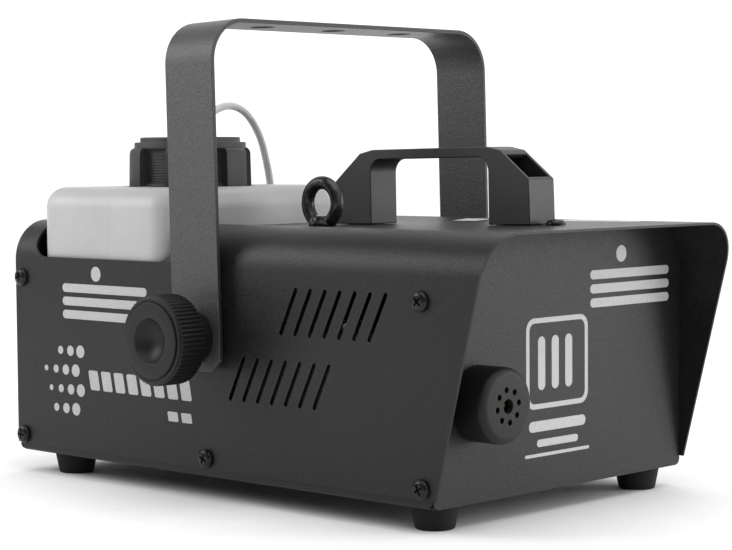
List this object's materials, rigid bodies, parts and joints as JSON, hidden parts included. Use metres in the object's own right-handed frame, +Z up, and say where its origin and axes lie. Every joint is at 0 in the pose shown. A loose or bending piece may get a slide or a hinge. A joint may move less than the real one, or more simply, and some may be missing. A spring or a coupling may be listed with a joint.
{
  "type": "fog machine",
  "caption": "Stage fog machine: louvred steel case with hood, nozzle, carrying handle, lift-out fluid tank with capped neck, and a hanging yoke clamped by side knobs.",
  "frame": {"origin": "centre of the whole object's box in plan, at the lower faces of the feet", "axes": "+X to the right side as seen from the tank end, +Y from the nozzle end to the tank end, +Z up"},
  "size_m": [0.2692, 0.3528, 0.2434],
  "materials": {
    "case_paint": "fine-speckled dark grey powder coat",
    "yoke_paint": "dark grey powder coat",
    "black_plastic": "moulded black, slightly grained",
    "black_gloss": "glossy black",
    "black_oxide": "glossy blackened steel",
    "rubber": "matte black rubber",
    "tank_plastic": "translucent natural white polyethylene",
    "clear_tube": "translucent soft tube",
    "steel": "plain zinc-plated steel",
    "aluminium": "cast, as machined",
    "brass": "turned brass",
    "wool": "fibrous heat insulation",
    "board": "green circuit board",
    "white_plastic": "moulded off-white"
  },
  "bodies": {
    "case": {"base_pan": "case_paint", "front_panel": "case_paint", "rear_panel": "case_paint", "cover": "case_paint", "tank_tray": "case_paint", "foot_front_left": "rubber", "foot_front_right": "rubber", "foot_rear_left": "rubber", "foot_rear_right": "rubber", "cover_screw_left_front_top": "black_oxide", "cover_screw_left_front_low": "black_oxide", "cover_screw_left_middle": "black_oxide", "cover_screw_left_rear_top": "black_oxide", "cover_screw_left_rear_low": "black_oxide", "cover_screw_right_front_top": "black_oxide", "cover_screw_right_front_low": "black_oxide", "cover_screw_right_middle": "black_oxide", "cover_screw_right_rear_top": "black_oxide", "cover_screw_right_rear_low": "black_oxide", "cover_screw_top": "black_oxide", "handle": "black_plastic", "handle_screw_front": "black_oxide", "handle_screw_rear": "black_oxide", "eyebolt": "black_oxide", "eyebolt_nut": "steel", "nozzle_shroud": "black_plastic", "nozzle_tip": "brass", "heater_block": "aluminium", "heater_jacket": "wool", "heater_bracket_front": "steel", "heater_bracket_rear": "steel", "thermostat": "steel", "pump_body": "black_plastic", "pump_bracket": "steel", "control_board": "board", "transformer": "black_plastic", "relay": "black_gloss", "terminal_block": "white_plastic", "mains_inlet": "black_plastic", "switch_housing": "black_plastic", "fuse_holder": "black_plastic", "remote_socket": "black_plastic", "tube_grommet": "rubber", "intake_tube": "clear_tube", "supply_tube": "clear_tube", "outlet_tube": "steel", "yoke_stud_left": "steel", "yoke_stud_right": "steel", "spacer_left": "rubber", "spacer_right": "rubber"},
    "yoke": {"yoke": "yoke_paint"},
    "knob_left": {"knob_left": "black_plastic"},
    "knob_right": {"knob_right": "black_plastic"},
    "tank": {"tank": "tank_plastic", "pickup_tube": "clear_tube", "pickup_filter": "steel"},
    "tank_cap": {"tank_cap": "black_plastic"},
    "switch_rocker": {"switch_rocker": "black_gloss"},
    "fuse_cap": {"fuse_cap": "black_gloss"},
    "pump_plunger": {"pump_plunger": "steel"}
  },
  "joints": [
    {"name": "yoke_tilt", "type": "hinge", "parent": "case", "child": "yoke", "pos_m": [0, 0.0105, 0.0838], "axis": [1, 0, 0], "range_deg": [-22, 45]},
    {"name": "knob_left_turn", "type": "hinge", "parent": "case", "child": "knob_left", "pos_m": [-0.12, 0.0105, 0.0838], "axis": [-1, 0, 0], "continuous": true},
    {"name": "knob_right_turn", "type": "hinge", "parent": "case", "child": "knob_right", "pos_m": [0.12, 0.0105, 0.0838], "axis": [1, 0, 0], "continuous": true},
    {"name": "tank_lift", "type": "slide", "parent": "case", "child": "tank", "axis": [0, 0, 1], "range_m": [0, 0.03], "deforming": ["intake_tube"]},
    {"name": "cap_turn", "type": "hinge", "parent": "tank", "child": "tank_cap", "pos_m": [-0.0296, 0.09715, 0.165], "axis": [0, 0, 1], "continuous": true},
    {"name": "switch_rock", "type": "hinge", "parent": "case", "child": "switch_rocker", "pos_m": [0.066, 0.1686, 0.0857], "axis": [0, 0, 1], "range_deg": [0, 16]},
    {"name": "fuse_cap_turn", "type": "hinge", "parent": "case", "child": "fuse_cap", "pos_m": [0.026, 0.1674, 0.0477], "axis": [0, 1, 0], "range_deg": [0, 90]},
    {"name": "pump_stroke", "type": "slide", "parent": "case", "child": "pump_plunger", "axis": [0, 1, 0], "range_m": [-0.003, 0.003], "stiffness_N_per_m": 600}
  ]
}
